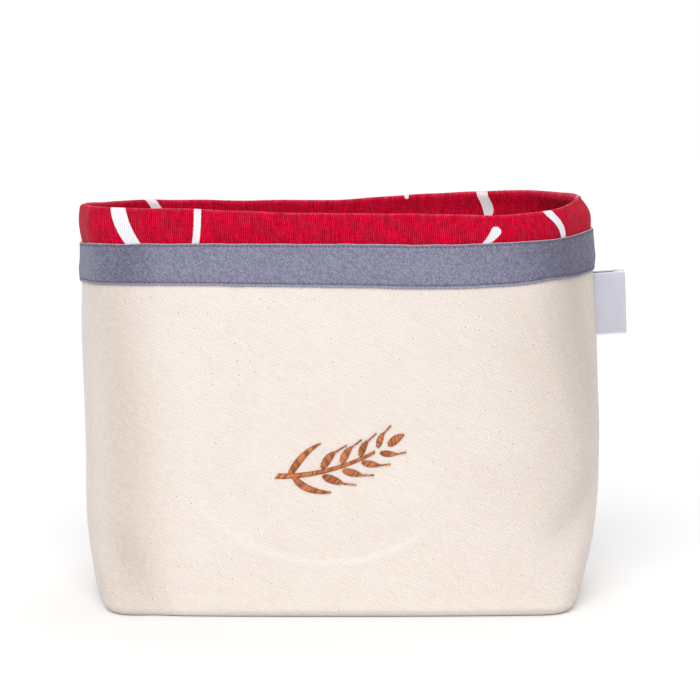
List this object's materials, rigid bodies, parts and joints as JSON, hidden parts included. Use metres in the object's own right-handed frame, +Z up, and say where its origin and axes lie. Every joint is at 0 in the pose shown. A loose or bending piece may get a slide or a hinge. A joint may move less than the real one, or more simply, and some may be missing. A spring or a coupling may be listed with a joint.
{
  "type": "linen bread bag",
  "caption": "Open standing cloth bag for bread: twill canvas outside, linen lining turned down over the rim as a cuff, ribbon over the cuff's edge, blank loop label at the right seam.",
  "frame": {"origin": "middle of the flat base, on the surface that the bag stands on", "axes": "+X along the bag's width, towards the side seam that holds the label; +Y from the front to the back; +Z up, out of the opening"},
  "size_m": [0.3343, 0.1632, 0.247],
  "materials": {
    "twill_canvas": "unbleached cotton twill canvas, matt, with fine diagonal ribs and small seed specks",
    "red_linen": "plain-woven red linen with slubs and a few broad white printed lines",
    "twill_ribbon": "blue-grey cotton twill ribbon, matt",
    "woven_label": "plain pale grey satin-woven label, blank"
  },
  "bodies": {
    "root": {"outer_bag": "twill_canvas", "lining": "red_linen", "ribbon_band": "twill_ribbon", "side_label": "woven_label"}
  },
  "joints": []
}
